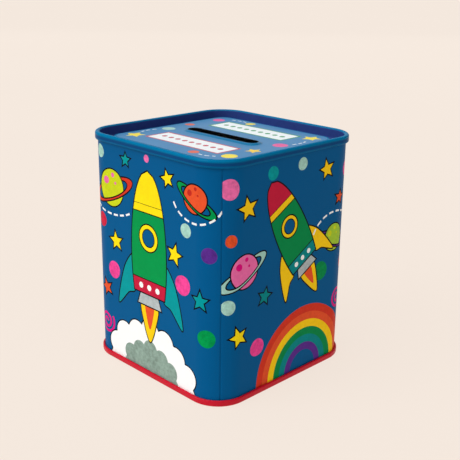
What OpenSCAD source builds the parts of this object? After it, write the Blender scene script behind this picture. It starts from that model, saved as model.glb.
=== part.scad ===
// Square tin money box: a printed sleeve with a folded side seam, a sunk top panel with a
// coin slot, a sunk base panel with a round hole, and a soft plug that closes the hole.
// Origin at the middle of the footprint, +Z up, -Y is the front, millimetres.

/* [Box] */
// Width of the sleeve across its flat sides, in X and in Y
box_width = 85; // [70:1:130]
// Height of the whole box, rim to rim
box_height = 105; // [60:1:180]
// Outside radius of the sleeve's four upright corners
corner_radius = 13.5; // [10:0.25:17]
// Thickness of the tinplate sheet
tin = 0.3; // [0.2:0.01:0.36]

/* [Top rim] */
// Height of the folded rim that joins the top panel to the sleeve
top_rim_height = 3.5; // [2.8:0.1:4.5]
// Play between the sheets folded together in the top rim
top_rim_play = 0.15; // [0.05:0.01:0.2]
// How far the top rim reaches inwards from the sleeve's outside
top_rim_in = 1; // [0.8:0.1:2]
// Radius of the top rim's crest
top_crest_radius = 1; // [0.6:0.1:1]

/* [Top panel] */
// Depth of the channel that runs round the top panel, below the rim
channel_depth = 5; // [4.2:0.1:8]
// Width of the channel, from the rim's inner wall to the raised field
channel_width = 5.75; // [4:0.25:7]
// Depth of the raised field below the rim
field_drop = 2.6; // [1.5:0.1:2.8]
// Radius of the raised field's edge
field_edge_radius = 1; // [0.5:0.1:1.2]
// Radius at the foot of the rims' inner walls
foot_radius = 1.2; // [0.6:0.1:1.4]

/* [Coin slot] */
// Length of the coin slot, in X
slot_length = 42; // [28:1:50]
// Width of the coin slot, in Y
slot_width = 6.2; // [4.5:0.1:8]
// Width of the raised lip round the slot
lip_width = 2; // [1:0.1:4]
// How far the lip stands up at the slot's edge
lip_rise = 0.7; // [0.4:0.1:1.4]

/* [Base rim] */
// Height of the folded rim that joins the base panel to the sleeve
base_rim_height = 3; // [2.8:0.1:4.5]
// Play between the sheets folded together in the base rim
base_rim_play = 0.1; // [0.05:0.01:0.2]
// How far the base rim reaches inwards from the sleeve's outside
base_rim_in = 0.9; // [0.8:0.1:2]
// Radius of the base rim's edges, which leave a flat ring to stand on
base_edge_radius = 0.6; // [0.4:0.05:0.8]

/* [Base panel] */
// Height of the base panel's underside above the surface that the box stands on
base_recess = 4; // [3.2:0.1:8]
// Diameter of the hole that the coins come out of
hole_diameter = 38; // [25:0.5:46]

/* [Side seam] */
// Width of the folded seam down the inside of the front right corner
seam_width = 4; // [2:0.5:6]
// Height left free between the folded seam and the panels
seam_end_gap = 2; // [1:0.5:6]

/* [Plug] */
// Clearance between the plug and its hole, on the radius
plug_clearance = 0.08; // [0.02:0.01:0.1]
// How far the plug's flange reaches past the hole
flange_overlap = 3; // [2:0.5:4]
// Thickness of the flange
flange_thickness = 1.35; // [1:0.05:2]
// Gap between the flange and the base panel
flange_gap = 0.05; // [0.02:0.01:0.1]
// Chamfer round the flange's lower edge
flange_chamfer = 0.4; // [0.2:0.1:0.6]
// Height of the plug's skirt inside the box, measured from the flange
skirt_height = 5; // [3:0.5:8]
// Thickness of the skirt
skirt_wall = 1.8; // [1.6:0.1:2.5]
// Height and depth of the taper that leads the skirt into the hole
skirt_taper = 1; // [0.5:0.1:1.4]
// Radius of the nail lip at the front of the flange
nail_lip_radius = 5; // [3:0.5:6]
// How far the nail lip stands out past the flange
nail_lip_out = 3; // [1:0.5:3.5]
// Thickness of the nail lip
nail_lip_thickness = 0.8; // [0.6:0.1:1]

/* [Hidden] */
$fn = 96;
// Steps in each bend of a sheet's section
bend_steps = 6;
// Layers of tinplate that the folded side seam adds inside the sleeve
seam_layers = 2;
// Gap between a sleeve hook and the sheet that folds over it
hook_gap = 0.1;
// Height of a panel's hook above the middle of the curl that it ends in
hook_reach = 1;
half_width = box_width / 2;
// Half length of the straight part of a side
half_straight = half_width - corner_radius;
// How far each rim stands out past the sleeve: three sheets and the play between them
top_rim_out = 3 * tin + 2 * top_rim_play;
base_rim_out = 3 * tin + 2 * base_rim_play;
flange_top = base_recess - flange_gap;
flange_bottom = flange_top - flange_thickness;
flange_radius = hole_diameter / 2 + flange_overlap;
plug_radius = hole_diameter / 2 - plug_clearance;
skirt_top = flange_top + skirt_height;
skirt_inner = plug_radius - skirt_wall;
seam_bottom = base_recess + tin + seam_end_gap;
seam_top = box_height - channel_depth - tin - seam_end_gap;
seam_depth = seam_layers * tin;
// How far the folded seam runs into the sheet that it is part of
seam_bite = tin / 2;
seam_angle = seam_width / corner_radius * 180 / PI;

// Points of a circular bend about [u, v], from one angle to another
function bend(u, v, radius, from, to) =
    [for (i = [0:bend_steps])
        let (a = from + (to - from) * i / bend_steps)
        [u + radius * cos(a), v + radius * sin(a)]];

function reversed(points) = [for (i = [len(points) - 1:-1:0]) points[i]];

// Sections are drawn with u outwards from the sleeve's outside and v upwards from the
// rim's crest. raised() sets one at the top of the box and upturned() sets it at the base.
function raised(points) = [for (p = points) [p[0], box_height + p[1]]];
function upturned(points) = [for (p = points) [p[0], -p[1]]];

// One face of a rim, from the panel's hook, round its curl, up the outside, over the crest
// and down to the inner wall. depth is 0 for the outside of the sheet, tin for the inside.
function rim_face(out, in, height, crest, depth) =
    concat([[depth, hook_reach - height + out / 2]],
           bend(out / 2, out / 2 - height, out / 2 - depth, 180, 360),
           bend(out - crest, -crest, crest - depth, 0, 90),
           bend(crest - in, -crest, crest - depth, 90, 180));

// Foot of an inner wall that stands at u = wall, turning into a floor at v = -sunk
function foot_face(wall, sunk, depth) =
    bend(wall - foot_radius, foot_radius - sunk, foot_radius + depth, 0, -90);

// Far side of the channel, and the edge of the raised field
function field_face(wall, depth) =
    concat(bend(wall + foot_radius, foot_radius - channel_depth, foot_radius + depth,
                -90, -180),
           bend(wall - field_edge_radius, -field_drop - field_edge_radius,
                field_edge_radius - depth, 0, 90),
           [[-corner_radius, -field_drop - depth]]);

function top_face(depth) =
    concat(rim_face(top_rim_out, top_rim_in, top_rim_height, top_crest_radius, depth),
           foot_face(-top_rim_in, channel_depth, depth),
           field_face(-top_rim_in - channel_width, depth));

function base_face(depth) =
    concat(rim_face(base_rim_out, base_rim_in, base_rim_height, base_edge_radius, depth),
           foot_face(-base_rim_in, base_recess, depth),
           [[-corner_radius, -base_recess - depth]]);

// One face of the sleeve's hook inside a rim, from the wall, over, and down to its tip.
// inside is 1 for the face that the sleeve has inside, 0 for the one that it has outside.
function hook_face(height, out, play, inside) =
    let (turn = (tin + play) / 2,
         middle = -2 * tin - hook_gap - turn,
         radius = turn + inside * tin)
        concat(bend(turn, middle, radius, 180, 0),
               [[turn + radius, hook_gap - height + out / 2]]);

function top_hook(inside) =
    raised(hook_face(top_rim_height, top_rim_out, top_rim_play, inside));
function base_hook(inside) =
    upturned(hook_face(base_rim_height, base_rim_out, base_rim_play, inside));

// Lip round the slot, rising from the raised field to the slot's edge
function lip_face(depth) =
    [for (i = [0:bend_steps])
        let (part = i / bend_steps)
        [part * lip_width, -field_drop - depth + lip_rise * (1 + cos(180 * part)) / 2]];

// A section moved outwards to the distance at which it is swept
function shifted(points, out) = [for (p = points) [out + p[0], p[1]]];

// Carries a section round a rounded rectangle of half sizes half_x and half_y
module frame(section, half_x, half_y, radius) {
    for (quarter = [0:3])
        translate([[1, -1, -1, 1][quarter] * (half_x - radius),
                   [1, 1, -1, -1][quarter] * (half_y - radius), 0])
            rotate([0, 0, 90 * quarter])
                rotate_extrude(angle = 90)
                    polygon(shifted(section, radius));
    for (quarter = [0:3]) {
        across = quarter % 2 == 0 ? half_x : half_y;
        along = (quarter % 2 == 0 ? half_y : half_x) - radius;
        if (along > 0)
            rotate([0, 0, 90 * quarter])
                rotate([90, 0, 0])
                    linear_extrude(height = 2 * along, center = true)
                        polygon(shifted(section, across));
    }
}

// Flat middle of a panel, between the centres of the box's corners
module middle_sheet(bottom) {
    translate([-half_straight, -half_straight, bottom])
        cube([2 * half_straight, 2 * half_straight, tin]);
}

// Cutter for a slot with round ends, long in X, through a sheet whose underside is given
module slot_cutter(length, width, bottom) {
    translate([-(length - width) / 2, -width / 2, bottom - tin])
        cube([length - width, width, 3 * tin]);
    for (side = [-1, 1])
        translate([side * (length - width) / 2, 0, bottom - tin])
            cylinder(d = width, h = 3 * tin);
}

// Carries a section round the coin slot: half a turn at each end and a straight each side
module slot_lip(section) {
    for (turn = [0, 180]) {
        rotate([0, 0, turn - 90])
            translate([0, (slot_length - slot_width) / 2, 0])
                rotate_extrude(angle = 180)
                    polygon(shifted(section, slot_width / 2));
        rotate([0, 0, turn + 90])
            rotate([90, 0, 0])
                linear_extrude(height = slot_length - slot_width, center = true)
                    polygon(shifted(section, slot_width / 2));
    }
}

// Printed sleeve, hooked outwards at both ends, with its folded side seam inside the
// front right corner
module body_wrapper() {
    section = concat(top_hook(1), reversed(top_hook(0)), base_hook(0), reversed(base_hook(1)));
    color([0, 0.35, 0.58]) {
        frame(section, half_width, half_width, corner_radius);
        translate([half_straight, -half_straight, seam_bottom])
            rotate([0, 0, -45 - seam_angle / 2])
                rotate_extrude(angle = seam_angle)
                    translate([corner_radius - tin - seam_depth, 0])
                        square([seam_depth + seam_bite, seam_top - seam_bottom]);
    }
}

// Top panel: rim, channel and raised field in one sheet, turned up round the slot
module top_panel() {
    field_bottom = box_height - field_drop - tin;
    color([0.1, 0.45, 0.68]) {
        difference() {
            union() {
                frame(raised(concat(top_face(0), reversed(top_face(tin)))),
                      half_width, half_width, corner_radius);
                middle_sheet(field_bottom);
            }
            slot_cutter(slot_length + 2 * lip_width, slot_width + 2 * lip_width, field_bottom);
        }
        slot_lip(raised(concat(lip_face(0), reversed(lip_face(tin)))));
    }
}

// Base panel: rim and sunk floor in one sheet, with the round hole for the coins
module base_panel() {
    color([0.78, 0.08, 0.2]) {
        frame(upturned(concat(base_face(0), reversed(base_face(tin)))),
              half_width, half_width, corner_radius);
        difference() {
            middle_sheet(base_recess);
            translate([0, 0, base_recess - tin])
                cylinder(d = hole_diameter, h = 3 * tin);
        }
    }
}

// Soft plug: flange under the base panel, skirt up through the hole, nail lip at the front
module stopper() {
    color([0.9, 0.9, 0.88]) {
        rotate_extrude()
            polygon([[0, flange_bottom],
                     [flange_radius - flange_chamfer, flange_bottom],
                     [flange_radius, flange_bottom + flange_chamfer],
                     [flange_radius, flange_top],
                     [plug_radius, flange_top],
                     [plug_radius, skirt_top - skirt_taper],
                     [plug_radius - skirt_taper, skirt_top],
                     [skirt_inner, skirt_top],
                     [skirt_inner, flange_top],
                     [0, flange_top]]);
        translate([0, nail_lip_radius - flange_radius - nail_lip_out, flange_bottom])
            cylinder(r = nail_lip_radius, h = nail_lip_thickness);
    }
}

body_wrapper();
top_panel();
base_panel();
stopper();
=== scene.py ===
# %% [markdown]
# # A printed tin money box, made from the sheets that a tinsmith would fold
# The real box is four parts. A printed sheet of tinplate is bent round into a square sleeve, a
# pressed panel is folded over each end of it, and a soft plug closes the hole in the base.
# This lesson makes the first three again as bent sheets with ink on them, and gives the plug,
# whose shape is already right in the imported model, a proper plastic finish.
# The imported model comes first, because every size and place below is taken from its box.

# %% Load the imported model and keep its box
import math
import bpy
import numpy as np
from mathutils import Matrix, Vector
from mathutils.geometry import delaunay_2d_cdt


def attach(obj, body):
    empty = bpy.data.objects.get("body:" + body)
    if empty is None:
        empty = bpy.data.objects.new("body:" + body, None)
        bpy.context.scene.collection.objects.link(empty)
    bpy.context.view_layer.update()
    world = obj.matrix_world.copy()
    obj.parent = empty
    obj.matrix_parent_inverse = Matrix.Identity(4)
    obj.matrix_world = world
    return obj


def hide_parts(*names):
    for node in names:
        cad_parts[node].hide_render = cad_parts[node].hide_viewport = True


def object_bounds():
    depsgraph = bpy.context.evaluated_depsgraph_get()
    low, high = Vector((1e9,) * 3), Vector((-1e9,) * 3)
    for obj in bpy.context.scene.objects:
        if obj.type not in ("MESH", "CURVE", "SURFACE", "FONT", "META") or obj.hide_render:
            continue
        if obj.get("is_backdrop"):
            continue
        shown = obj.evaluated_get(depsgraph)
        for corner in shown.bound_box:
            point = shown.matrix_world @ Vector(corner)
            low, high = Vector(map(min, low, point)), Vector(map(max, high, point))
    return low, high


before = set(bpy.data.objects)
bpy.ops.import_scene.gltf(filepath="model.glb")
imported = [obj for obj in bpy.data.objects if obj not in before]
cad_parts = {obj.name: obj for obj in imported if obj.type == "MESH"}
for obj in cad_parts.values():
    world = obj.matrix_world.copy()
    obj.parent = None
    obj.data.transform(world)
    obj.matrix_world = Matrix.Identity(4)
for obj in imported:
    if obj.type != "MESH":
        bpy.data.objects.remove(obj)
cad_low, cad_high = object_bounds()
print("packed box in mm:", [round(1000 * (b - a), 2) for a, b in zip(cad_low, cad_high)])

# %% [markdown]
# Tinplate is thinner than any other thing here, so lengths are worked out in millimetres and
# turned into metres only when a mesh is filled. The two rims stand a little proud of the
# sleeve, so the sleeve's own half width is the box's less the top rim's reach.

# %% Sizes, in millimetres
MM = 0.001
TIN = 0.3
TOP_OUT = 1.2
HEIGHT = round(1000 * (cad_high[2] - cad_low[2]), 2)
HALF = round(1000 * cad_high[0] - TOP_OUT, 2)
CORNER = 13.5
ARC = CORNER * math.pi / 2
STRAIGHT = 2 * (HALF - CORNER)
QUARTER = ARC + STRAIGHT
ROUND = 4 * QUARTER
print("sleeve: half width", HALF, "height", HEIGHT, "way round", round(ROUND, 2))

# %% [markdown]
# The sleeve, both rims and both panels all follow one path: a square with round corners. A
# modifier could bevel a cube, but a bent sheet needs the length along the path too, because
# the print is laid out on that length while the sheet is still flat. So the path is a formula.
# It starts at the middle of the front right corner, where the sheet's two ends meet.


# %% The path round the box
def around(along, out):
    """Places and directions on a square with round corners. Each quarter is a quarter circle
    about a corner's centre and then a straight side, and it is turned by as many right angles
    as quarters come before it. out moves the place square to the path."""
    along = np.asarray(along, float) + ARC / 2
    quarter = np.floor(along / QUARTER)
    rest = along - quarter * QUARTER
    lean = np.minimum(rest / CORNER, math.pi / 2) - math.pi / 2
    x = HALF - CORNER + (CORNER + out) * np.cos(lean)
    y = CORNER - HALF + (CORNER + out) * np.sin(lean) + np.maximum(rest - ARC, 0)
    turn = quarter * math.pi / 2
    place = np.stack([x * np.cos(turn) - y * np.sin(turn), x * np.sin(turn) + y * np.cos(turn)], -1)
    facing = np.stack([np.cos(lean + turn), np.sin(lean + turn)], -1)
    return place, facing


def stations(in_corner, in_side):
    """Lengths along the path: even steps through each corner, then through each side."""
    steps = np.concatenate([np.arange(in_corner) * ARC / in_corner,
                            ARC + np.arange(in_side) * STRAIGHT / in_side])
    return (np.arange(4)[:, None] * QUARTER + steps - ARC / 2).ravel()


print("the path passes", np.round(around([0, ARC / 2, QUARTER], 0)[0], 1).tolist())

# %% [markdown]
# Every sheet has two faces a tin's thickness apart, joined by a strip along each free edge. A
# Solidify modifier does that, but then the hidden face would carry the print as well. Here the
# back is a copy of the front's faces, turned round, so it can have a finish of its own.


# %% Meshes from arrays, and a sheet with a front, a back and edges
def fill_mesh(name, corners, faces, finishes, finish_of_face):
    """A mesh object from whole arrays: corners in millimetres, and arrays of 3 or 4 sided faces."""
    mesh = bpy.data.meshes.new(name)
    mesh.vertices.add(len(corners))
    mesh.vertices.foreach_set("co", (np.asarray(corners) * MM).astype(np.float32).ravel())
    sides = np.concatenate([np.full(len(f), f.shape[1]) for f in faces])
    mesh.loops.add(int(sides.sum()))
    order = np.concatenate([f.ravel() for f in faces]).astype(np.int32)
    mesh.loops.foreach_set("vertex_index", order)
    mesh.polygons.add(len(sides))
    starts = np.concatenate([[0], np.cumsum(sides)[:-1]]).astype(np.int32)
    mesh.polygons.foreach_set("loop_start", starts)
    mesh.polygons.foreach_set("material_index", np.asarray(finish_of_face, np.int32))
    mesh.update(calc_edges=True)
    for finish in finishes:
        mesh.materials.append(finish)
    mesh.shade_smooth()
    piece = bpy.data.objects.new(name, mesh)
    bpy.context.scene.collection.objects.link(piece)
    return piece


def per_corner(values, faces):
    """One value for each face, repeated for every corner of that face."""
    count = np.repeat([f.shape[1] for f in faces], [len(f) for f in faces])
    return np.repeat(values, count, axis=0)


def free_edges(faces):
    """The directed edges that no neighbouring face runs along the other way."""
    pairs = np.concatenate([np.stack([f, np.roll(f, -1, 1)], -1).reshape(-1, 2) for f in faces])
    size = pairs.max() + 1
    there = pairs[:, 0] * size + pairs[:, 1]
    back = pairs[:, 1] * size + pairs[:, 0]
    return pairs[~np.isin(there, back)]


def two_faced(front, back, faces):
    """All corners and faces of a sheet: its front, its back turned round, and its edge strips."""
    count = len(front)
    rim = free_edges(faces)
    strip = np.stack([rim[:, 1], rim[:, 0], rim[:, 0] + count, rim[:, 1] + count], -1)
    turned = [f[:, ::-1] + count for f in faces]
    fronts = sum(len(f) for f in faces)
    which = np.concatenate([np.zeros(fronts), np.ones(fronts), np.full(len(strip), 2)]).astype(int)
    return np.concatenate([front, back]), [*faces, *turned, strip], which


# %% [markdown]
# The finishes are built from nodes, and node code is hard to read when each link is a line of
# its own. One small class stands for a socket, so that a finish is written as sums and products.
# Colours and vectors use their own nodes, because a Math node would turn a colour grey.


# %% Sums for sockets, and one way to make any node
class Wire:
    """A node's output, which can be added, subtracted and multiplied."""

    def __init__(self, finish, socket):
        self.finish = finish
        self.socket = socket

    def work(self, operation, other, other_first=False):
        """The one node for an operation, of the kind that this socket needs."""
        pair = (other, self) if other_first else (self, other)
        if self.socket.type == "RGBA":
            settings = {"data_type": "RGBA", "blend_type": operation}
            return self.finish.node("ShaderNodeMix", settings, {0: 1.0, 6: pair[0], 7: pair[1]}, 2)
        kind = "ShaderNodeVectorMath" if self.socket.type == "VECTOR" else "ShaderNodeMath"
        return self.finish.node(kind, {"operation": operation}, {0: pair[0], 1: pair[1]})

    def __add__(self, other):
        return self.work("ADD", other)

    def __sub__(self, other):
        return self.work("SUBTRACT", other)

    def __rsub__(self, other):
        return self.work("SUBTRACT", other, True)

    def __mul__(self, other):
        return self.work("MULTIPLY", other)

    __radd__ = __add__
    __rmul__ = __mul__


class Finish:
    """A material with one Principled shader, and one method that makes every other node."""

    def __init__(self, name):
        self.material = bpy.data.materials.new(name)
        self.material.use_nodes = True
        self.nodes = self.material.node_tree.nodes
        self.links = self.material.node_tree.links
        self.shader = self.nodes["Principled BSDF"]

    def feed(self, socket, value):
        if isinstance(value, Wire):
            self.links.new(value.socket, socket)
        elif socket.type == "RGBA" and len(value) == 3:
            socket.default_value = (*value, 1.0)
        else:
            socket.default_value = value

    def node(self, kind, settings=None, sockets=None, output=0):
        made = self.nodes.new(kind)
        for key, value in (settings or {}).items():
            if key == "stops":
                for stop, (place, shade) in zip(made.color_ramp.elements, value):
                    stop.position = place
                    stop.color = (shade, shade, shade, 1.0)
            else:
                setattr(made, key, value)
        for key, value in (sockets or {}).items():
            self.feed(made.inputs[key], value)
        return Wire(self, made.outputs[output])

    def place(self):
        return self.node("ShaderNodeTexCoord", output="Object")

    def noise(self, scale, detail=3.0, rough=0.55, stretch=None):
        """Smooth random blotches. scale is per metre, so 500 gives blotches 2 mm across."""
        where = self.place() if stretch is None else self.place() * stretch
        sockets = {"Vector": where, "Scale": scale, "Detail": detail, "Roughness": rough}
        return self.node("ShaderNodeTexNoise", None, sockets)

    def ramp(self, value, stops):
        """Greys between two stops, each a place on the ramp and its shade."""
        return self.node("ShaderNodeValToRGB", {"stops": stops}, {"Fac": value})

    def blend(self, share, first, second):
        return self.node("ShaderNodeMix", {"data_type": "RGBA"}, {0: share, 6: first, 7: second}, 2)

    def bump(self, height, strength, distance):
        sockets = {"Height": height, "Strength": strength, "Distance": distance}
        return self.node("ShaderNodeBump", None, sockets)

    def end(self, **values):
        for key, value in values.items():
            self.feed(self.shader.inputs[key.replace("_", " ")], value)
        return self.material


def linear(red, green, blue):
    """A screen colour, 0 to 255 a channel, as the linear light that the shaders work in."""
    share = np.array([red, green, blue]) / 255
    return tuple(np.where(share <= 0.04045, share / 12.92, ((share + 0.055) / 1.055) ** 2.4))


# %% [markdown]
# The print is a picture on a flat sheet, so it is drawn flat, in millimetres, before the sheet
# is bent. An image texture would be the usual way. Here each shape is cut into the sheet itself
# instead, so its edge stays sharp at any distance. These are the few shapes that a hand-drawn
# space picture needs, each slightly uneven, as a brush or a felt pen leaves it.

# %% Shapes of the print, as closed loops of points
PEN = 0.6
FULL = 2 * math.pi


def turned(points, angle):
    """Points turned about zero by an angle in degrees."""
    a = math.radians(angle)
    turn = np.array([[math.cos(a), math.sin(a)], [-math.sin(a), math.cos(a)]])
    return np.asarray(points, float) @ turn


def blob(x, y, wide, tall=None, tilt=0, steps=40, uneven=0.015):
    """An ellipse whose radius swells and shrinks a little, two and three times round."""
    a = np.arange(steps) * FULL / steps
    shape = 1 + uneven * np.sin(2 * a + x) + uneven * 0.7 * np.sin(3 * a + y)
    loop = np.stack([wide * shape * np.cos(a), (tall or wide) * shape * np.sin(a)], -1)
    return turned(loop, tilt) + (x, y)


def star(x, y, size, tilt=0, waist=0.46):
    """Five points and notches in turn round a centre, each one's reach varied a little."""
    tips = np.arange(10)
    a = tips * math.pi / 5 + math.pi / 2
    reach = np.where(tips % 2 == 0, 1.0, waist)
    reach = reach * (1 + 0.06 * np.sin(5.3 * tips + x + y))
    return turned(np.stack([size * reach * np.cos(a), size * reach * np.sin(a)], -1), tilt) + (x, y)


def curve(points, steps=8, closed=True):
    """A smooth curve through the points: between two of them, the cubic whose slope at each is
    half the way from the point before to the point after."""
    p = np.asarray(points, float)
    ends = (p, np.roll(p, -1, 0), np.roll(p, 1, 0), np.roll(p, -2, 0))
    if not closed:
        q = np.concatenate([[2 * p[0] - p[1]], p, [2 * p[-1] - p[-2]]])
        ends = (q[1:-2], q[2:-1], q[:-3], q[3:])
    here, there, before, after = (e[:, None, :] for e in ends)
    t = (np.arange(steps) / steps)[None, :, None]
    slope_a = (there - before) / 2
    slope_b = (after - here) / 2
    made = here * (2 * t**3 - 3 * t**2 + 1) + there * (3 * t**2 - 2 * t**3)
    made = made + slope_a * (t**3 - 2 * t**2 + t) + slope_b * (t**3 - t**2)
    made = made.reshape(-1, 2)
    return made if closed else np.concatenate([made, p[-1:]])


def area(loop):
    """Twice the area inside a loop, positive when it runs anticlockwise."""
    return np.sum(loop[:, 0] * np.roll(loop[:, 1], -1) - loop[:, 1] * np.roll(loop[:, 0], -1))


def grow(loop, by):
    """A loop moved outwards: each point goes along the mean of its two edges' outward
    directions, far enough to keep both edges straight, up to three times the distance."""
    loop = np.asarray(loop, float)
    loop = loop if area(loop) > 0 else loop[::-1]
    edge = np.roll(loop, -1, 0) - loop
    edge = edge / np.maximum(np.linalg.norm(edge, axis=1, keepdims=True), 1e-9)
    side = np.stack([edge[:, 1], -edge[:, 0]], -1)
    mean = side + np.roll(side, 1, 0)
    mean = mean / np.maximum(np.linalg.norm(mean, axis=1, keepdims=True), 1e-6)
    stretch = 1 / np.maximum(np.sum(mean * side, 1, keepdims=True), 1 / 3)
    return loop + by * stretch * mean


def stroke(path, width):
    """A line with width: the path moved to its left, then back along its right."""
    path = np.asarray(path, float)
    way = np.gradient(path, axis=0)
    way = way / np.maximum(np.linalg.norm(way, axis=1, keepdims=True), 1e-9)
    side = np.stack([-way[:, 1], way[:, 0]], -1) * width / 2
    return np.concatenate([path + side, (path - side)[::-1]])


def dashes(path, width, on, off):
    """Short strokes along a path, spaced by its length."""
    path = np.asarray(path, float)
    run = np.concatenate([[0], np.cumsum(np.linalg.norm(np.diff(path, axis=0), axis=1))])
    made = []
    for start in np.arange(0, run[-1] - on / 2, on + off):
        at = np.linspace(start, min(start + on, run[-1]), 4)
        piece = np.stack([np.interp(at, run, path[:, 0]), np.interp(at, run, path[:, 1])], -1)
        made.append(stroke(piece, width))
    return made


def part_ring(x, y, wide, tall, start, stop, steps=30):
    """Points on an ellipse, from one angle to another in degrees."""
    a = np.radians(np.linspace(start, stop, steps))
    return np.stack([x + wide * np.cos(a), y + tall * np.sin(a)], -1)


def cloud(x, y, wide, tall, bumps, size):
    """The outline of a row of round puffs on a half ellipse: at each angle from the centre, the
    furthest point of any puff."""
    at = np.linspace(-4, 184, bumps)
    wobble = 1 + 0.05 * np.sin(at * 1.7)
    px = (wide - size) * np.cos(np.radians(at)) * wobble
    py = (tall - size) * np.sin(np.radians(at)) * wobble
    a = np.radians(np.linspace(-12, 192, 30 * bumps))[:, None]
    along = px * np.cos(a) + py * np.sin(a)
    aside = np.abs(px * np.sin(a) - py * np.cos(a))
    reach = np.where(aside < size, along + np.sqrt(np.maximum(size**2 - aside**2, 0)), 0).max(1)
    return np.stack([x + reach * np.cos(a[:, 0]), y + reach * np.sin(a[:, 0])], -1)


print("a star has", len(star(0, 0, 5)), "corners, a blob", len(blob(0, 0, 5)))

# %% [markdown]
# Printing lays one ink over another, and the last one shows. The artwork keeps its inks in that
# order. Cutting the sheet along every edge in it is a triangulation that must keep given lines,
# and Blender has one for that. Then each small face looks up which ink lies on its middle.


# %% Artwork, and how it is cut into a flat sheet
class Artwork:
    """Inks in printing order. Each is loops of points, a colour, how mottled it is, and loops
    that it stays inside, all of them. A point is on an ink if it is inside an odd number of its
    own loops. start is where the sheet begins, and wrap is its length."""

    def __init__(self, wrap=0.0, start=0.0):
        self.inks = []
        self.wrap = wrap
        self.start = start

    def on_sheet(self, loops):
        """Loops by their place on the sheet, which starts at the seam and runs one way."""
        loops = [np.asarray(loop, float) - (self.start, 0) for loop in loops]
        if self.wrap and loops and np.mean([loop[:, 0].mean() for loop in loops]) < 0:
            loops = [loop + (self.wrap, 0) for loop in loops]
        return loops

    def ink(self, loops, colour, mottle=0.0, within=None):
        loops = loops if isinstance(loops, list) else [loops]
        stencils = self.on_sheet(within or [])
        self.inks.append((self.on_sheet(loops), colour, mottle, stencils))

    def drawn(self, loop, colour, mottle=0.0, pen=PEN):
        """A shape of one ink with a black pen line along its edge."""
        self.ink(grow(loop, pen / 2), INKS["black"])
        self.ink(grow(loop, -pen / 2), colour, mottle)

    def lines(self):
        """Every loop that is an edge between inks, once."""
        known = {}
        for loops, _, _, within in self.inks:
            for loop in loops + within:
                known[loop.tobytes()] = loop
        return list(known.values())


def inside(points, loops):
    """Whether each point is inside: a ray to its right crosses the loops an odd number of times."""
    hit = np.zeros(len(points), bool)
    for loop in loops:
        low, high = loop.min(0), loop.max(0)
        near = np.flatnonzero(np.all((points > low) & (points < high), axis=1))
        if len(near):
            ax, ay = loop[:, 0], loop[:, 1]
            bx, by = np.roll(ax, -1), np.roll(ay, -1)
            x, y = points[near, 0:1], points[near, 1:2]
            spans = (ay > y) != (by > y)
            rise = np.where(by == ay, 1, by - ay)
            hit[near] ^= (np.sum(spans & (x < ax + (y - ay) * (bx - ax) / rise), 1) % 2).astype(bool)
    return hit


def cut(loops, lines, limits):
    """Triangles of a flat sheet with every loop and line kept as edges. Points past the limits
    are moved to them. Returns the corners and the triangles, anticlockwise."""
    rows = [(np.clip(loop, *limits), True) for loop in loops]
    rows += [(np.asarray(line, float), False) for line in lines]
    points = np.concatenate([row[0] for row in rows])
    edges = []
    start = 0
    for row, closed in rows:
        index = np.arange(start, start + len(row))
        edges.append(np.stack([index, np.roll(index, -1)], -1)[: None if closed else -1])
        start += len(row)
    flat = [Vector(p) for p in points.tolist()]
    made = delaunay_2d_cdt(flat, np.concatenate(edges).tolist(), [], 0, 1e-5, False)
    corners = np.array(made[0])
    faces = np.array(made[2])
    a, b, c = (corners[faces[:, k]] for k in range(3))
    twice = (b[:, 0] - a[:, 0]) * (c[:, 1] - a[:, 1]) - (b[:, 1] - a[:, 1]) * (c[:, 0] - a[:, 0])
    faces = np.where(twice[:, None] < 0, faces[:, ::-1], faces)
    return corners, faces[np.abs(twice) > 1e-7]


def inked(artwork, middles, ground):
    """The colour and mottling of each face: the ground's, then each ink's in turn."""
    colour = np.tile(np.append(ground, 0.0), (len(middles), 1))
    for loops, shade, mottle, within in artwork.inks:
        on = inside(middles, loops)
        for loop in within:
            on &= inside(middles, [loop])
        colour[on] = (*shade, mottle)
    return colour


# %% [markdown]
# The inks are few and strong, as on most printed tins. They are mixed once here, by the names
# that a printer might give them, so that one can be changed everywhere at once.

# %% The printer's inks
INKS = {name: linear(*rgb) for name, rgb in {
    "night": (0, 88, 142), "black": (12, 12, 16), "white": (252, 252, 252), "silver": (180, 188, 190),
    "lemon": (255, 226, 20), "gold": (255, 208, 22), "orange": (232, 84, 44), "rust": (216, 56, 36),
    "brick": (196, 44, 34), "crimson": (200, 30, 62), "magenta": (222, 10, 125), "rose": (240, 70, 150),
    "pink": (238, 110, 170), "purple": (92, 46, 142), "lime": (205, 215, 30), "olive": (168, 205, 56),
    "green": (0, 150, 75), "emerald": (0, 138, 74), "sea": (0, 136, 138), "teal": (0, 152, 155),
    "mint": (165, 208, 195), "sage": (140, 162, 150)}.items()}
print(len(INKS), "inks")

# %% [markdown]
# The picture is this lesson's own, a plain space scene of the kind that a toy box carries. It
# repeats a few things: stars, dots, ringed planets and one toy rocket. Each is a function that
# draws it at a place, so the four sides share them. The planets are plain, with craters.


# %% Planets with rings, and dots
RING_WIDE, RING_TALL, RING_HOLE, RING_DROP = 1.85, 0.55, 0.74, 0.8
CRATERS = ((-0.44, 0.34, 0.21), (0.1, 0.68, 0.13), (0.3, 0.28, 0.08))


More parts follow.
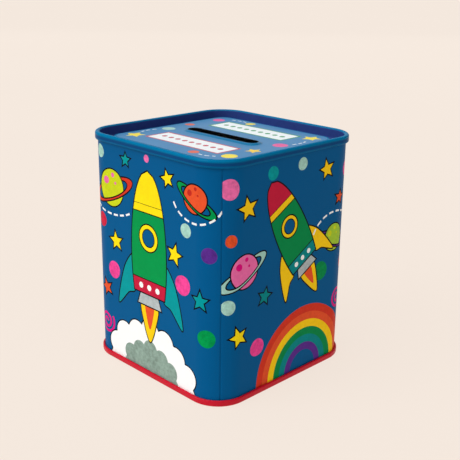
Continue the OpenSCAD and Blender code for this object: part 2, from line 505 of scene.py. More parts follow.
def planet(art, x, y, size, colour, crater, ring, tilt):
    """A disc between the far and near halves of a tilted ring. The ring lies between two
    ellipses of one shape, and its near half is what lies below its long axis. The ring's and
    the craters' sizes are shares of the disc's radius."""
    low = y - RING_DROP
    wide, tall = RING_WIDE * size, RING_TALL * size
    outside = blob(x, low, wide, tall, tilt, 64, 0)
    hole = blob(x, low, wide * RING_HOLE, tall * RING_HOLE, tilt, 64, 0)
    near = [(-2 * wide, -3 * tall), (2 * wide, -3 * tall), (2 * wide, 0), (-2 * wide, 0)]

    def draw_ring(within):
        art.ink([grow(outside, PEN / 2), grow(hole, -PEN / 2)], INKS["black"], 0, within)
        art.ink([grow(outside, -PEN / 2), grow(hole, PEN / 2)], INKS[ring], 0.15, within)

    draw_ring(None)
    art.drawn(blob(x, y, size, None, 0, 56), INKS[colour], 0.35)
    for across, up, share in CRATERS:
        mark = blob(x + across * size, y + up * size, share * size, None, 0, 28)
        art.ink(mark, INKS[crater], 0.5)
    draw_ring([turned(near, tilt) + (x, low)])


def dot(art, x, y, size, colour, mottle=1.1):
    """A round dab of well mottled ink with no outline."""
    art.ink(blob(x, y, size, None, 0, 36, 0.02), INKS[colour], mottle)


# %% [markdown]
# One toy rocket serves every side. Its body is half of an ellipse on each side of an axis, with
# a nose, a stripe and a tail laid across it and kept inside its outline, as with a stencil. It
# is drawn upright at a height of about 2, then sized, turned and moved to its place.


# %% The toy rocket
def rocket(art, x, y, size, tilt, paint):
    """Half width at height h is 0.34 times the root of 1 less ((h + 0.1) / 1.1) squared."""
    def put(points):
        return turned(np.asarray(points, float) * size, tilt) + (x, y)

    def paint_of(part):
        return INKS[paint[part]]

    height = np.linspace(-0.62, 1, 28)
    half = 0.34 * np.sqrt(np.clip(1 - ((height + 0.1) / 1.1) ** 2, 0, 1))
    right = np.stack([half, height], -1)
    body = np.concatenate([right, right[::-1][1:] * (-1, 1)])
    flame = curve([(-0.16, -0.74), (-0.13, -1.0), (0, -1.28), (0.13, -1.0), (0.16, -0.74)], 6)
    art.drawn(put(flame), INKS["gold"], 0.3)
    art.ink(put(flame * (0.5, 0.62) + (0, -0.3)), INKS["orange"], 0.3)
    for side in (1, -1):
        fin = curve([(0.27, -0.12), (0.5, -0.36), (0.64, -0.9), (0.42, -0.7), (0.27, -0.6)], 6)
        art.drawn(put(fin * (side, 1)), paint_of("fin"), 0.25)
    nozzle = [(-0.17, -0.6), (0.17, -0.6), (0.24, -0.78), (-0.24, -0.78)]
    art.drawn(put(nozzle), INKS["silver"], 0.8)
    art.drawn(put(body), paint_of("body"), 0.2)
    fill = grow(put(body), -PEN / 2)
    for low, high, part in ((0.56, 1.1, "nose"), (0.46, 0.56, "stripe"), (-0.7, -0.42, "tail")):
        band = [(-0.4, low), (0.4, low), (0.4, high), (-0.4, high)]
        art.ink(put(band), paint_of(part), 0.2, [fill])
        edge = low if low > 0 else high
        line = stroke([(-0.4, edge), (0.4, edge)], PEN * 0.8 / size)
        art.ink(put(line), INKS["black"], 0, [fill])
    art.drawn(put(blob(0, 0.14, 0.18, None, 0, 44, 0)), paint_of("stripe"), 0.1)
    art.drawn(put(blob(0, 0.14, 0.115, None, 0, 40, 0)), INKS["night"], 0.1, PEN * 0.8)
    for across in (-0.16, 0, 0.16):
        art.ink(put(blob(across, -0.52, 0.04, None, 0, 16, 0)), INKS["white"])


# %% [markdown]
# Now the picture itself, laid out by its length round the box: nothing at the front right
# corner, the right side upwards of that, and the front side below it. Stars, dots and planets
# are lists, because all that changes from one to the next is its place, size and ink.

# %% Stars, dots, planets and swirls over all four sides
SEAM = 1.1
sleeve_art = Artwork(ROUND, SEAM)
PLANETS = [(-64, 82, 8.4, "lime", "pink", "rust", 22), (-11, 88, 6.2, "orange", "brick", "green", -30),
           (12, 58, 7.4, "pink", "magenta", "mint", 28), (68, 60, 6.4, "olive", "lime", "purple", -18),
           (93, 84, 7.2, "mint", "teal", "gold", 20), (146, 80, 6.4, "orange", "brick", "silver", -24),
           (171, 84, 6, "olive", "lime", "rose", 24), (229, 60, 7, "pink", "magenta", "gold", -20)]
for x, y, size, colour, crater, ring, tilt in PLANETS:
    planet(sleeve_art, x, y, size, colour, crater, ring, tilt)
STARS = [(-62, 58, 5, 8, "lemon"), (-23, 62, 5.2, -12, "lemon"), (-54, 96, 3.8, 0, "teal"),
         (-27, 93, 4.4, 16, "lemon"), (-70, 34, 4.6, 20, "orange"), (-8, 46, 5, 0, "teal"),
         (13, 84, 5.6, 10, "gold"), (24, 44, 4.6, -14, "sea"), (61, 92, 5, 12, "gold"),
         (71, 78, 3.8, -8, "orange"), (9, 30, 5.2, 18, "lemon"), (88, 60, 5, 0, "lemon"),
         (139, 56, 5, 12, "gold"), (104, 96, 3.8, 8, "teal"), (153, 42, 4.8, -10, "teal"),
         (167, 60, 5, 14, "lemon"), (174, 40, 4.4, 0, "orange"), (222, 88, 5, -8, "lemon"),
         (219, 40, 4.8, 10, "teal"), (184, 96, 3.6, 0, "gold")]
for x, y, size, tilt, colour in STARS:
    sleeve_art.drawn(star(x, y, size, tilt), INKS[colour], 0.15)
DOTS = [(-72, 66, 3.4, "crimson"), (-72, 97, 3, "mint"), (-64, 44, 4, "rose"), (-16, 74, 3, "mint"),
        (-18, 50, 4.4, "rose"), (-4, 66, 3.4, "purple"), (-5, 30, 4, "green"), (-40, 99, 1.6, "pink"),
        (4, 93, 4.2, "pink"), (5, 72, 2.6, "orange"), (4, 44, 3.2, "mint"), (27, 96, 3, "teal"),
        (45, 97, 2.8, "mint"), (60, 46, 4.4, "emerald"), (77, 90, 3.6, "rose"), (78, 46, 3.2, "orange"),
        (20, 22, 4, "rose"), (84, 96, 3, "pink"), (97, 52, 4, "rose"), (96, 34, 3.2, "purple"),
        (144, 96, 3.4, "green"), (158, 92, 3, "pink"), (156, 64, 4, "rose"), (146, 30, 4, "mint"),
        (162, 26, 3.4, "green"), (163, 76, 2.8, "purple"), (222, 74, 3.4, "mint"),
        (231, 40, 3.6, "rose"), (232, 92, 3.4, "orange"), (176, 52, 3, "mint"), (232, 22, 4, "green")]
for x, y, size, colour in DOTS:
    dot(sleeve_art, x, y, size, colour)
for x, y, colour in ((74, 30, "magenta"), (158, 12, "lemon"), (-71, 17, "magenta")):
    turns = np.linspace(0, 2.1 * FULL, 90)
    reach = 0.8 + 5 * turns / turns[-1]
    swirl = np.stack([x + reach * np.cos(turns), y + reach * np.sin(turns)], -1)
    sleeve_art.ink(stroke(swirl, 1.2), INKS[colour], 0.3)
print("scattered over the sides:", len(sleeve_art.inks), "inks")

# %% [markdown]
# Each side gets one rocket. Two stand on their smoke, which is rows of puffs one inside another,
# and two fly at a slant over a rainbow, which is half discs laid one on another. White dashes
# mark orbits.

# %% The rockets, smoke and rainbows
for x, inner in ((-39.6, "sage"), (198, "mint")):
    sleeve_art.drawn(cloud(x, 2, 30, 25, 9, 6), INKS["white"], 0.05)
    sleeve_art.ink(cloud(x, 2, 19, 15, 7, 4.6), INKS[inner], 1.2)
for x in (50, 118.8):
    for ring, colour in enumerate(("rust", "orange", "gold", "emerald", "sea", "purple", "night")):
        radius = 30 - 3.6 * ring
        sleeve_art.ink(part_ring(x, 2.2, radius, radius, 0, 180, 60), INKS[colour], 0.35)
PAINTED_PARTS = ("body", "nose", "stripe", "tail", "fin")
ROCKETS = [(-39.6, 60, 34, 0, ("green", "lemon", "lemon", "crimson", "teal")),
           (198, 60, 34, 0, ("crimson", "gold", "gold", "teal", "magenta")),
           (40, 68, 28, 30, ("emerald", "crimson", "gold", "sea", "gold")),
           (120, 66, 28, -30, ("purple", "orange", "lemon", "rose", "lemon"))]
for x, y, size, tilt, colours in ROCKETS:
    rocket(sleeve_art, x, y, size, tilt, dict(zip(PAINTED_PARTS, colours)))
ORBITS = [(-64, 82, 19, 12, 215, 320), (68, 60, 15, 12, 60, 170), (93, 84, 15, 13, 200, 320),
          (229, 60, 14, 12, 200, 330), (-11, 88, 13, 10, 200, 340)]
for orbit in ORBITS:
    for dash in dashes(part_ring(*orbit), 0.85, 2.8, 1.6):
        sleeve_art.ink(dash, INKS["white"])
print("all four sides:", len(sleeve_art.inks), "inks")

# %% [markdown]
# The lacquered print is nearly flat in gloss, with a clear varnish over it. What gives it life
# is small: brushed colour that comes out mottled, a varnish with a very fine orange-peel, and a
# sheen that is not quite even. The ink is read from an attribute on the faces, and its fourth
# channel says how mottled each ink is.


# %% The print's finish and the bare tin inside
def printed_finish(name, gloss, shine, varnish):
    """Ink from the faces, mottled by noise at two sizes, under an uneven varnish."""
    finish = Finish(name)
    ink = finish.node("ShaderNodeAttribute", {"attribute_name": "ink"}, None, "Color")
    mottle = finish.node("ShaderNodeAttribute", {"attribute_name": "ink"}, None, "Alpha")
    brushed = finish.noise(620, 5, 0.62) * 0.62 + finish.noise(190, 3, 0.5) * 0.38
    tone = 1.0 + mottle * (brushed - 0.5) * 1.5 + (finish.noise(60, 2) - 0.5) * 0.06
    shade = finish.node("ShaderNodeCombineColor", None, {0: tone, 1: tone, 2: tone})
    patchy = finish.noise(75, 4, 0.6)
    fine = finish.noise(2600, 2, 0.5)
    peel = finish.bump(fine * 0.5 + finish.noise(240, 2) * 0.5, 0.12, 0.00006)
    return finish.end(Base_Color=ink * shade, Roughness=gloss + patchy * 0.12, Normal=peel,
                      Specular_IOR_Level=shine, Coat_Weight=varnish, Coat_Roughness=0.16)


def bare_tin_finish():
    """Grey metal with streaks from rolling, brighter and duller by turns."""
    finish = Finish("bare_tin")
    streaks = finish.noise(900, 3, 0.6, (1.0, 1.0, 0.06))
    cloudy = finish.noise(70, 3)
    tone = 0.5 + streaks * 0.22 + cloudy * 0.12
    colour = finish.node("ShaderNodeCombineColor", None, {0: tone, 1: tone * 0.985, 2: tone * 0.95})
    return finish.end(Base_Color=colour, Metallic=0.9, Roughness=0.3 + streaks * 0.2,
                      Normal=finish.bump(streaks, 0.2, 0.00004))


sleeve_print = printed_finish("printed_sleeve_ink", 0.36, 0.02, 0.02)
top_print = printed_finish("printed_top_ink", 0.24, 0.2, 0.05)
# The rim's finish shows the band's inks, which carry painted highlight, shade and reflection.
rim_print_and_light = printed_finish("printed_rim_ink_and_light", 0.2, 0.02, 0.02)
bare_tin = bare_tin_finish()
print("finishes:", sleeve_print.name, top_print.name, bare_tin.name)

# %% [markdown]
# The sleeve is the flat print bent round the path. Upright lines are kept in the cut where the
# corners bend, so that no triangle lies across a bend, and each point's shading direction comes
# from the formula of the bend and not from its faces. Where the sheet's ends meet, both dip into
# a narrow groove: that is the folded side seam, seen from outside.

# %% The sleeve
SLEEVE_LOW, SLEEVE_HIGH = 1.4, 103.4
GAP = 0.004
SEAM_DEEP, SEAM_WIDE = 0.3, 0.3
FOLD_DEEP, FOLD_REACH, FOLD_SOFT = 0.07, 4.2, 0.18


def seam_dip(along):
    """How far the sheet dips near its ends: a narrow bell-shaped groove, and a faint wider one
    over the folds behind it on the side that carries them."""
    off = np.minimum(along, ROUND - along)
    folds = FOLD_DEEP / (1 + np.exp((along - FOLD_REACH) / FOLD_SOFT))
    return -SEAM_DEEP * np.exp(-((off / SEAM_WIDE) ** 2)) - folds


def lay_ink(mesh, faces, front, other):
    """The ink attribute that the print's finish reads: the front faces have their own inks, and
    the back and the edges one other."""
    rest = sum(len(f) for f in faces) - len(front)
    every = np.concatenate([front, np.tile((*other, 0.0), (rest, 1))])
    ink = mesh.attributes.new("ink", "FLOAT_COLOR", "CORNER")
    ink.data.foreach_set("color", per_corner(every, faces).astype(np.float32).ravel())


def build_sleeve():
    """The flat print with upright lines where it bends, close together at the seam, then bent."""
    near_seam = np.array([0.12, 0.25, 0.4, 0.6, 0.9])
    uprights = [(stations(20, 4) - SEAM) % ROUND, [GAP, ROUND - GAP, ROUND / 2], near_seam,
                [3.6, 4, 4.4, 4.8], ROUND - near_seam]
    uprights = np.unique(np.round(np.clip(np.concatenate(uprights), GAP, ROUND - GAP), 4))
    lines = [[(s, SLEEVE_LOW), (s, SLEEVE_HIGH)] for s in uprights]
    lines += [[(GAP, z), (ROUND - GAP, z)] for z in (SLEEVE_LOW, 20, 40, 60, 80, SLEEVE_HIGH)]
    limits = ((GAP, SLEEVE_LOW), (ROUND - GAP, SLEEVE_HIGH))
    flat, faces = cut(sleeve_art.lines(), lines, limits)
    middles = flat[faces].mean(1)
    colour = inked(sleeve_art, middles, INKS["night"])
    along, high = flat[:, 0], flat[:, 1]
    dip = seam_dip(along)
    slope = (seam_dip(along + 0.01) - seam_dip(along - 0.01)) / 0.02
    slope = np.where((along < 0.02) | (along > ROUND - 0.02), 0, slope)
    place, facing = around(along + SEAM, dip)
    behind, _ = around(along + SEAM, dip - TIN)
    front = np.column_stack([place, high])
    back = np.column_stack([behind, high])
    ahead = np.stack([-facing[:, 1], facing[:, 0]], -1)
    lit = np.column_stack([facing - slope[:, None] * ahead, np.zeros(len(facing))])
    lit = lit / np.linalg.norm(lit, axis=1, keepdims=True)
    corners, all_faces, which = two_faced(front, back, [faces])
    piece = fill_mesh("printed_sleeve", corners, all_faces, [sleeve_print, bare_tin], which == 1)
    mesh = piece.data
    mesh.normals_split_custom_set_from_vertices(np.concatenate([lit, -lit]).tolist())
    lay_ink(mesh, all_faces, colour, INKS["night"])
    own_map(mesh, all_faces, which, flat, middles)
    return piece


def write_map(mesh, uv):
    """The piece's own UV map, from a place for every corner of every face."""
    layer = mesh.uv_layers.new(name="OFBake")
    layer.uv.foreach_set("vector", uv.astype(np.float32).ravel())


def own_map(mesh, all_faces, which, flat, middles):
    """A flat layout of the faces: the print in two rows, half of it in each, and the plain
    back in a thin row below."""
    edge, row_tall, back_tall = 0.005, 0.455, 0.035
    second_row, first_row = 0.055, 0.53
    spread = np.concatenate([flat, flat])
    index = np.concatenate([f.ravel() for f in all_faces])
    half = np.concatenate([middles[:, 0] > ROUND / 2, np.zeros(len(which) - len(middles), bool)])
    later = per_corner(half, all_faces)
    outer = per_corner(which == 0, all_faces)
    s, z = spread[index, 0], (spread[index, 1] - SLEEVE_LOW) / (SLEEVE_HIGH - SLEEVE_LOW)
    u = np.where(outer, (s - later * ROUND / 2) / (ROUND / 2), s / ROUND)
    v = np.where(outer, np.where(later, second_row, first_row) + row_tall * z, edge + back_tall * z)
    write_map(mesh, np.stack([edge + (1 - 2 * edge) * u, v], -1))


sleeve = build_sleeve()
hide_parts("body_wrapper")
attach(sleeve, "tin")
print("sleeve:", len(sleeve.data.polygons), "faces")

# %% [markdown]
# A rim is a section carried round the path. The section is the same one that the tinsmith's
# tools would give: up from a small curl, over a round crest, down a wall, and on into the
# panel. The front and back of the sheet are two such sections with matching points.


# %% Sections of the rims and panels
def bend(u, v, radius, start, stop, steps=9):
    """Points on a circle about (u, v), from one angle to another in degrees."""
    a = np.radians(np.linspace(start, stop, steps + 1))
    return np.stack([u + radius * np.cos(a), v + radius * np.sin(a)], -1)


def rim_section(out, inward, height, crest, depth):
    """From the hook round the curl, up the outside, over the crest and down the inner wall."""
    upright = np.linspace(out / 2 - height, -crest, 6)[1:-1]
    return np.concatenate([bend(out / 2, out / 2 - height, out / 2 - depth, 150, 360, 12),
                           np.stack([np.full(4, out - depth), upright], -1),
                           bend(out - crest, -crest, crest - depth, 0, 90),
                           bend(crest - inward, -crest, crest - depth, 90, 180)[1:]])


def top_section(depth):
    """The rim, the channel's two round feet, the raised field's edge, and a start of the field."""
    rim = rim_section(out=TOP_OUT, inward=1.0, height=3.5, crest=1.0, depth=depth)
    return np.concatenate([rim,
                           bend(-2.2, -3.8, 1.2 + depth, 0, -90),
                           bend(-5.55, -3.8, 1.2 + depth, -90, -180),
                           bend(-7.75, -3.6, 1.0 - depth, 0, 90),
                           [(-8.1, -2.6 - depth)]])


def base_section(depth):
    """The rim, the foot of its wall and a start of the base's floor."""
    rim = rim_section(out=1.1, inward=0.9, height=2.8, crest=0.75, depth=depth)
    return np.concatenate([rim,
                           bend(-2.1, -2.8, 1.2 + depth, 0, -90),
                           [(-2.6, -4.0 - depth)]])


print("section points:", len(top_section(0)), "at the top,", len(base_section(0)), "at the base")

# %% [markdown]
# A panel is that band plus a flat middle with a hole in it. The middle is cut like the print,
# with the band's last row as its border, and the two share those points, so the sheet has no
# join. The lip of the coin slot is turned up along lines that follow the slot.


# %% A panel: the carried section, then the flat middle
def stadium(length, width, steps=26):
    """A slot's outline: two half circles joined by straights."""
    a = np.radians(np.linspace(-90, 90, steps))
    right = np.stack([(length - width) / 2 + width / 2 * np.cos(a), width / 2 * np.sin(a)], -1)
    return np.concatenate([right, -right])


def build_panel(name, section, hole, kept, lift, level, finishes, paint_flat, paint_band):
    """section(depth) gives (out, up) points; hole and kept are loops that stay edges in the cut;
    lift(x, y) is how far the flat middle is raised; level maps heights to the box's heights.
    finishes are the flat middle's, the back's and the band's. The two paints give the inks of
    the middle's faces from their places, and of the band's from their out and up."""
    path = stations(24, 6)
    outer, inner = section(0), section(TIN)
    rows = len(outer) - 1
    border, _ = around(path, outer[-1, 0])
    flat, middle = cut([border, hole, *kept], [], ((-HALF, -HALF), (HALF, HALF)))
    middle = middle[~inside(flat[middle].mean(1), [hole])]
    used, middle = np.unique(middle, return_inverse=True)
    flat, middle = flat[used], middle.reshape(-1, 3)
    raised = lift(flat[:, 0], flat[:, 1])
    match = np.argmin(((flat[None] - border[:, None]) ** 2).sum(-1), 1)
    total = len(flat)
    grid = total + np.arange(rows * len(path)).reshape(rows, len(path))
    grid = np.concatenate([grid, match[None]])
    ahead = np.roll(grid, -1, 1)
    band = np.stack([grid[:-1], ahead[:-1], ahead[1:], grid[1:]], -1).reshape(-1, 4)

    def points(line):
        """The flat middle at the section's last height, then the section's rows round the path."""
        out, up = np.repeat(line[:rows], len(path), axis=0).T
        carried = np.column_stack([around(np.tile(path, rows), out)[0], up])
        centre = np.column_stack([flat, line[-1, 1] + raised])
        made = np.concatenate([centre, carried])
        made[:, 2] = level(made[:, 2])
        return made

    front, back = points(outer), points(inner)
    flip = level(1.0) < level(0.0)
    faces = [f[:, ::-1] if flip else f for f in (middle, band)]
    corners, all_faces, which = two_faced(front, back, faces)
    finish_of_face = np.where(which == 1, 1, 0)
    finish_of_face[len(middle):len(middle) + len(band)] = 2
    piece = fill_mesh(name, corners, all_faces, finishes, finish_of_face)
    mesh = piece.data
    mesh.set_sharp_from_angle(angle=math.radians(50))
    row_middle = np.repeat((outer[:-1] + outer[1:]) / 2, len(path), axis=0)
    on_flat, on_band = paint_flat(flat[middle].mean(1)), paint_band(*row_middle.T)
    # The back and the edge strips get black ink, which only the top panel's print reads: the slot's cut
    # edge is painted black as painted shade inside the slot.
    lay_ink(mesh, all_faces, np.concatenate([on_flat, on_band]), INKS["black"])
    steps = np.linalg.norm(np.diff(outer, axis=0), axis=1)
    run = np.cumsum(steps[::-1])[::-1]
    laid = np.concatenate([around(path, outer[-1, 0] + r)[0] for r in run])
    lay_out(mesh, all_faces, which, np.concatenate([flat, laid]))
    return piece


def lay_out(mesh, all_faces, which, spread):
    """A flat layout: the front as if the band were pressed flat outwards, in the larger square,
    and the back the same way in a small square at one corner."""
    front_centre, front_half = 0.42, 0.41
    back_centre, back_half = 0.92, 0.07
    spread = spread / np.abs(spread).max()
    index = np.concatenate([f.ravel() for f in all_faces])
    at = np.concatenate([spread, spread])[index]
    front = per_corner(which == 0, all_faces)[:, None]
    write_map(mesh, np.where(front, front_centre + front_half * at, back_centre + back_half * at))


# %% [markdown]
# The raised field on top carries a small print of its own: two plain white strips with a row of
# round studs on each side of the slot, and a few stars and dots between paths of white dashes.
# The channel round it is a deeper blue than the rim: navy ink, darkened further as painted shade.

# %% The top panel's print
top_art = Artwork()
for y, stud in ((-18, "crimson"), (20, "green")):
    strip = [(-22, y - 6), (22, y - 6), (22, y + 6), (-22, y + 6)]
    top_art.ink(grow(strip, 1), INKS[stud], 0.2)
    top_art.ink(np.array(strip, float), INKS["white"], 0.03)
    for x in np.linspace(-17.6, 17.6, 9):
        top_art.ink(blob(x, y, 1.3, None, 0, 20, 0), INKS[stud], 0.2)
TOP_DOTS = [(29, 6, 3.4, "rose"), (-29, -6, 3.2, "mint"), (29, -24, 3.4, "lemon"), (-29, 26, 3, "rose"),
            (14, -29.6, 2.4, "orange"), (-12, 30.4, 2.4, "lemon"), (-30, 8, 2.4, "orange")]
for x, y, size, colour in TOP_DOTS:
    dot(top_art, x, y, size, colour, 0.35)
TOP_STARS = [(28.6, 27, 4.6, 10, "lemon"), (-28.4, -26, 4.8, 24, "lemon"), (29, -10, 3.8, 0, "gold")]
for x, y, size, tilt, colour in TOP_STARS:
    top_art.ink(star(x, y, size, tilt, 0.5), INKS[colour], 0.2)
TOP_PATHS = [[(31.6, 11), (32, 16), (31, 21)], [(-31.8, -11), (-32.4, -16), (-31.4, -20.6)],
             [(-25, 31), (-20, 32), (-15.4, 31.6)], [(18, -30.6), (22, -30.4), (25.6, -28.4)]]
for path in TOP_PATHS:
    for dash in dashes(curve(path, 8, False), 0.75, 2.2, 1.2):
        top_art.ink(dash, INKS["white"])
print("top panel:", len(top_art.inks), "inks")

# %% [markdown]
# Ink on the band is laid by height and reach: a bright blue on the crest and the raised edge, as a
# painted highlight; a deeper one on the rim's outer wall, as painted shade; a lighter one on its curl,
# as a painted reflection; and navy in the channel and on the rim's inner wall, darkened as painted
# shade. The raised lip of the slot carries the crest's blue, a little deeper than the field.

# %% The top panel
FIELD_BLUE = linear(0, 122, 178)
# Blue of the rim's crest and the field's raised edge, lightened as a painted highlight; the slot's lip
# takes it too.
CREST_HIGHLIGHT_AND_LIP_BLUE = linear(0, 112, 158)
# Blue of the rim's outer wall, darkened as painted shade.
WALL_SHADE_BLUE = linear(8, 70, 122)
# Blue of the rim's curl, lightened as a painted reflection.
CURL_REFLECTION_BLUE = linear(0, 92, 140)
# Navy ink for the channel and the rim's inner wall, darkened further as painted shade.
NAVY_WITH_SHADE = linear(48, 66, 128)
SLOT_LONG, SLOT_WIDE, LIP, LIP_RISE = 42.0, 6.2, 2.0, 0.7


def slot_lip(x, y):
    """The lip's height: a half cosine of the distance from the slot's edge, nothing past the lip."""
    off = np.hypot(np.maximum(np.abs(x) - (SLOT_LONG - SLOT_WIDE) / 2, 0), y) - SLOT_WIDE / 2
    return LIP_RISE * (1 + np.cos(math.pi * np.clip(off / LIP, 0, 1))) / 2


def top_field_ink(middles):
    """The artwork on the raised field, and one blue on the slot's lip."""
    colour = inked(top_art, middles, FIELD_BLUE)
    lip = slot_lip(middles[:, 0], middles[:, 1]) > 0.03
    colour[lip] = (*CREST_HIGHLIGHT_AND_LIP_BLUE, 0.1)
    return colour


def top_band_ink_and_light(out, up):
    """Navy with painted shade in the channel and on the inner wall; on the rim and the raised edge, a
    painted highlight on the crest and edge, painted shade on the outer wall and a painted reflection on
    the curl.
    """
    deep = (out < -0.55) & (out > -6.8) & (up < -0.5)
    outside = (out > 0) & (up < -1)
    wall = outside & (up < -1.3) & (up > -2.6)
    # Painted light by band: highlight on the crest and raised edge, shade on the outer wall and in the
    # navy channel, reflection on the curl.
    where = np.where(deep, 0, np.where(wall, 1, np.where(outside, 2, 3)))
    return np.array([(*NAVY_WITH_SHADE, 0.3), (*WALL_SHADE_BLUE, 0.15), (*CURL_REFLECTION_BLUE, 0.15), (*CREST_HIGHLIGHT_AND_LIP_BLUE, 0.15)])[where]


slot_rings = [stadium(SLOT_LONG + 2 * d, SLOT_WIDE + 2 * d) for d in np.linspace(0, LIP, 10)]
top = build_panel("printed_top", top_section, slot_rings[0], [*slot_rings[1:], *top_art.lines()],
                  slot_lip, lambda v: HEIGHT + v, [top_print, bare_tin, rim_print_and_light],
                  top_field_ink, top_band_ink_and_light)
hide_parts("top_panel")
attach(top, "tin")
print("top panel:", len(top.data.polygons), "faces")

# %% [markdown]
# The base is the same kind of panel turned over, in plain red lacquer, with a round hole. Its
# lacquer is glossier than the print, and thinner on the rim's lower edge, where the box has been
# slid about: there a little dull tin shows through.


# %% The red base
def red_lacquer():
    """Red with slow cloudiness, a fine orange-peel and rubbed spots on the ring it stands on."""
    finish = Finish("red_lacquer")
    high = finish.node("ShaderNodeSeparateXYZ", None, {0: finish.place()}, 2)
    clamped = {"operation": "MULTIPLY", "use_clamp": True}
    foot = 1.0 - finish.node("ShaderNodeMath", clamped, {0: high, 1: 3600.0})
    rubbed = finish.ramp(finish.noise(420, 4, 0.65), [(0.52, 0.0), (0.6, 1.0)])
    worn = foot * rubbed
    cloudy = finish.noise(110, 3)
    red = finish.blend(cloudy, linear(196, 10, 36), linear(210, 16, 46))
    colour = finish.blend(worn * 0.6, red, linear(150, 130, 125))
    peel = finish.bump(finish.noise(2200, 2) * 0.5 + finish.noise(260, 2) * 0.5, 0.14, 0.00006)
    return finish.end(Base_Color=colour, Roughness=0.26 + cloudy * 0.12 + worn * 0.2, Normal=peel,
                      Specular_IOR_Level=0.12, Coat_Weight=0.06, Coat_Roughness=0.12)


def base_ink(first, *others):
    """One red all over; the lacquer doesn't read it, but both panels are built alike."""
    return np.tile((*INKS["crimson"], 0.0), (len(first), 1))


def no_lift(x, y):
    """A floor that is flat all over."""
    return np.zeros(len(x))


lacquer = red_lacquer()
HOLE_RADIUS = 19.0
hole = blob(0, 0, HOLE_RADIUS, None, 0, 96, 0)
base_rings = [blob(0, 0, HOLE_RADIUS + further, None, 0, 72, 0) for further in (1, 7, 13)]
base = build_panel("red_base", base_section, hole, base_rings, no_lift,
                   lambda v: 0 - v, [lacquer, bare_tin, lacquer], base_ink, base_ink)
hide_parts("base_panel")
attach(base, "tin")
print("base:", len(base.data.polygons), "faces")

# %% [markdown]
# The plug's shape is already right, so it stays and only gets its finish: soft, slightly
# milky plastic, a little greyer where dirt settles, with the faint rings that its mould was
# turned with.


# %% The plug's plastic
def plug_plastic():
    """Milky white with slow tone changes; rings by distance from the axis give its fine relief."""
    finish = Finish("plug_plastic")
    flat = finish.place() * (1.0, 1.0, 0.0)
    from_axis = finish.node("ShaderNodeVectorMath", {"operation": "LENGTH"}, {0: flat}, "Value")
    rings = finish.node("ShaderNodeMath", {"operation": "SINE"}, {0: from_axis * 7000.0})
    cloudy = finish.noise(130, 4, 0.6)
    grain = finish.noise(1800, 2)
    colour = finish.blend(cloudy, linear(214, 212, 204), linear(238, 237, 231))
    return finish.end(Base_Color=colour, Roughness=0.42 + grain * 0.14,
                      Normal=finish.bump(rings * 0.2 + grain, 0.2, 0.00005), Specular_IOR_Level=0.4)


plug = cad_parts["stopper"]
for slot in plug.material_slots:
    slot.material = plug_plastic()
print("plug finish on", len(plug.material_slots), "slot")

# %% [markdown]
# The box stands on a plain pale floor that runs out of sight, in soft even light. A broad sun
# with a very wide disc gives the front side its brightness without a hard shadow, and the rest
# comes from a pale room all round, which also shows in the top panel at its low angle.


# %% Floor and lights
FLOOR_REACH, FLOOR_LINES = 9000.0, 7


def pale_floor():
    """A flat sheet about the box, in a plain pale finish."""
    line = np.linspace(-FLOOR_REACH, FLOOR_REACH, FLOOR_LINES)
    x, y = np.meshgrid(line, line)
    index = np.arange(x.size).reshape(x.shape)
    quads = np.stack([index[:-1, :-1], index[:-1, 1:], index[1:, 1:], index[1:, :-1]], -1).reshape(-1, 4)
    finish = Finish("pale_floor")
    colour = finish.blend(finish.noise(3, 2), linear(78, 74, 70), linear(82, 78, 74))
    finish.end(Base_Color=colour, Roughness=0.9, Specular_IOR_Level=0.0,
               Emission_Color=linear(246, 233, 222), Emission_Strength=0.905)
    corners = np.column_stack([x.ravel(), y.ravel(), np.zeros(x.size)])
    floor = fill_mesh("pale_floor", corners, [quads], [finish.material], np.zeros(len(quads)))
    floor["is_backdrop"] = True


pale_floor()
world = bpy.data.worlds.new("pale_room")
world.use_nodes = True
room = world.node_tree.nodes["Background"]
room.inputs["Color"].default_value = (0.9, 0.93, 0.98, 1.0)
room.inputs["Strength"].default_value = 0.2
bpy.context.scene.world = world


def hang(light, place, beam):
    """Puts a light in the scene with its beam along a direction."""
    holder = bpy.data.objects.new(light.name, light)
    holder.location = place
    holder.rotation_euler = beam.to_track_quat("-Z", "Y").to_euler()
    holder.visible_camera = False
    bpy.context.scene.collection.objects.link(holder)


def soft_sun(name, towards, strength, spread):
    """A sun that shines from one direction, with a wide disc for a soft edge to its shadow."""
    sun = bpy.data.lights.new(name, "SUN")
    sun.energy = strength
    sun.color = (0.93, 0.99, 1.0)
    sun.angle = math.radians(spread)
    hang(sun, (0, 0, 0), -Vector(towards))


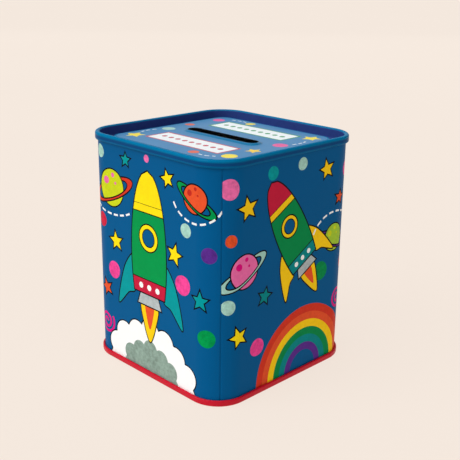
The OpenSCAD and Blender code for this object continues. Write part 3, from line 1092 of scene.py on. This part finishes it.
def soft_box(name, place, size, power):
    """A broad flat light that faces the box's middle, unseen itself but seen in the gloss."""
    panel = bpy.data.lights.new(name, "AREA")
    panel.shape = "RECTANGLE"
    panel.size, panel.size_y = size
    panel.energy = power
    hang(panel, place, Vector((0, 0, 0.08)) - Vector(place))


soft_sun("front_light", (-0.35, -1.0, 0.75), 1.86, 50)
soft_sun("side_light", (1.0, -0.3, 0.7), 0.5, 60)
soft_sun("top_light", (-0.15, -0.1, 1.0), 1.15, 40)
soft_box("back_light", (-1.1, 1.1, 0.75), (2.2, 1.3), 4.4)

# %% [markdown]
# The camera looks down at the near corner from a little above. Its place is found from where it
# looks, how far off it is and how it is turned, so each of those can be changed alone. A small
# move sideways and up sets where the box stands in the frame.

# %% The camera
aim, tilt_down, roll = math.radians(45.1), math.radians(18.265), math.radians(0.825)
look_at = Vector((0, 0, 0.053125))
distance, sideways, lifted = 0.3738, 0.00419, 0.00568
LENS, SENSOR, NEAREST = 63.737, 36, 0.01
level_forward = Vector((-math.sin(aim), math.cos(aim), 0))
forward = math.cos(tilt_down) * level_forward + Vector((0, 0, -math.sin(tilt_down)))
level_right = Vector((math.cos(aim), math.sin(aim), 0))
level_up = level_right.cross(forward)
right = math.cos(roll) * level_right + math.sin(roll) * level_up
upward = -math.sin(roll) * level_right + math.cos(roll) * level_up
eye = look_at - distance * forward + sideways * right + lifted * upward
camera = bpy.data.objects.new("camera", bpy.data.cameras.new("camera"))
camera.data.lens = LENS
camera.data.sensor_width = SENSOR
camera.data.clip_start = NEAREST
facing = Matrix((right, upward, -forward)).transposed().to_4x4()
camera.matrix_world = Matrix.Translation(eye) @ facing
bpy.context.scene.collection.objects.link(camera)
bpy.context.scene.camera = camera
bpy.context.scene.view_settings.view_transform = "Standard"
print("camera at", [round(v, 4) for v in eye])

# %% [markdown]
# Last, the size.

# %% Compare sizes and finish
low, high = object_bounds()
grown = [max(a - b, c - d) for a, b, c, d in zip(cad_low, low, high, cad_high)]
print("grown by, in mm:", [round(1000 * by, 3) for by in grown])
